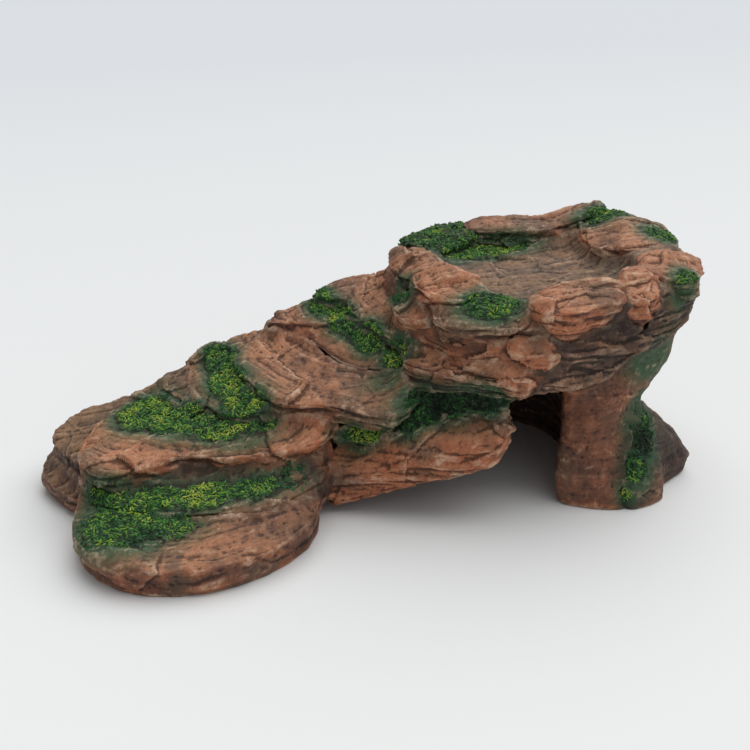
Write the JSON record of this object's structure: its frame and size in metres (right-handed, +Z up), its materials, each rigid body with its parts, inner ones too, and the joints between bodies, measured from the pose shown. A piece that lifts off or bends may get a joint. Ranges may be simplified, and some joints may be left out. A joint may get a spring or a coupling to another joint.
{
  "type": "aquarium basking ramp cave ornament",
  "caption": "Stepped stone ramp rising to a round basking deck with a shallow dish, over a front-opening cave held up by a pillar, an end wall and a rear wall.",
  "frame": {"origin": "on the floor under the middle of the ornament's bounding box", "axes": "+Z up, +X up the ramp from its low end to the deck, +Y from the open front of the cave to its closed back"},
  "size_m": [0.267, 0.116, 0.0995],
  "materials": {
    "red_rock": "cast polyresin painted red-brown with a dark wash and dry-brushed edges, matt",
    "brown_rock": "cast polyresin painted dark grey-brown with a dark wash, matt",
    "moss_rock": "cast polyresin with a stippled moss texture painted green, matt"
  },
  "bodies": {
    "root": {"front_foot_rock": "red_rock", "rear_foot_low": "brown_rock", "rear_wall": "brown_rock", "end_wall": "brown_rock", "pillar_foot": "brown_rock", "front_pillar": "red_rock", "front_foot_ledge": "red_rock", "rear_foot_high": "brown_rock", "ramp_core": "brown_rock", "ramp_lip": "red_rock", "ramp_slab_1": "red_rock", "ramp_slab_2": "brown_rock", "ramp_slab_3": "red_rock", "ramp_slab_4": "red_rock", "ramp_slab_5": "red_rock", "ramp_slab_6": "red_rock", "ramp_slab_7": "red_rock", "deck_base": "brown_rock", "deck_strata_bottom": "red_rock", "deck_strata_middle": "red_rock", "rim_front_ledge": "red_rock", "rim_front_stone": "red_rock", "rim_corner_stone": "red_rock", "rim_right_stone": "red_rock", "rim_back_right_stone": "red_rock", "rim_back_stone": "red_rock", "rim_back_moss_stone": "moss_rock", "rim_left_stone": "red_rock", "rim_left_chip": "red_rock", "rim_left_wedge": "red_rock"}
  },
  "joints": []
}
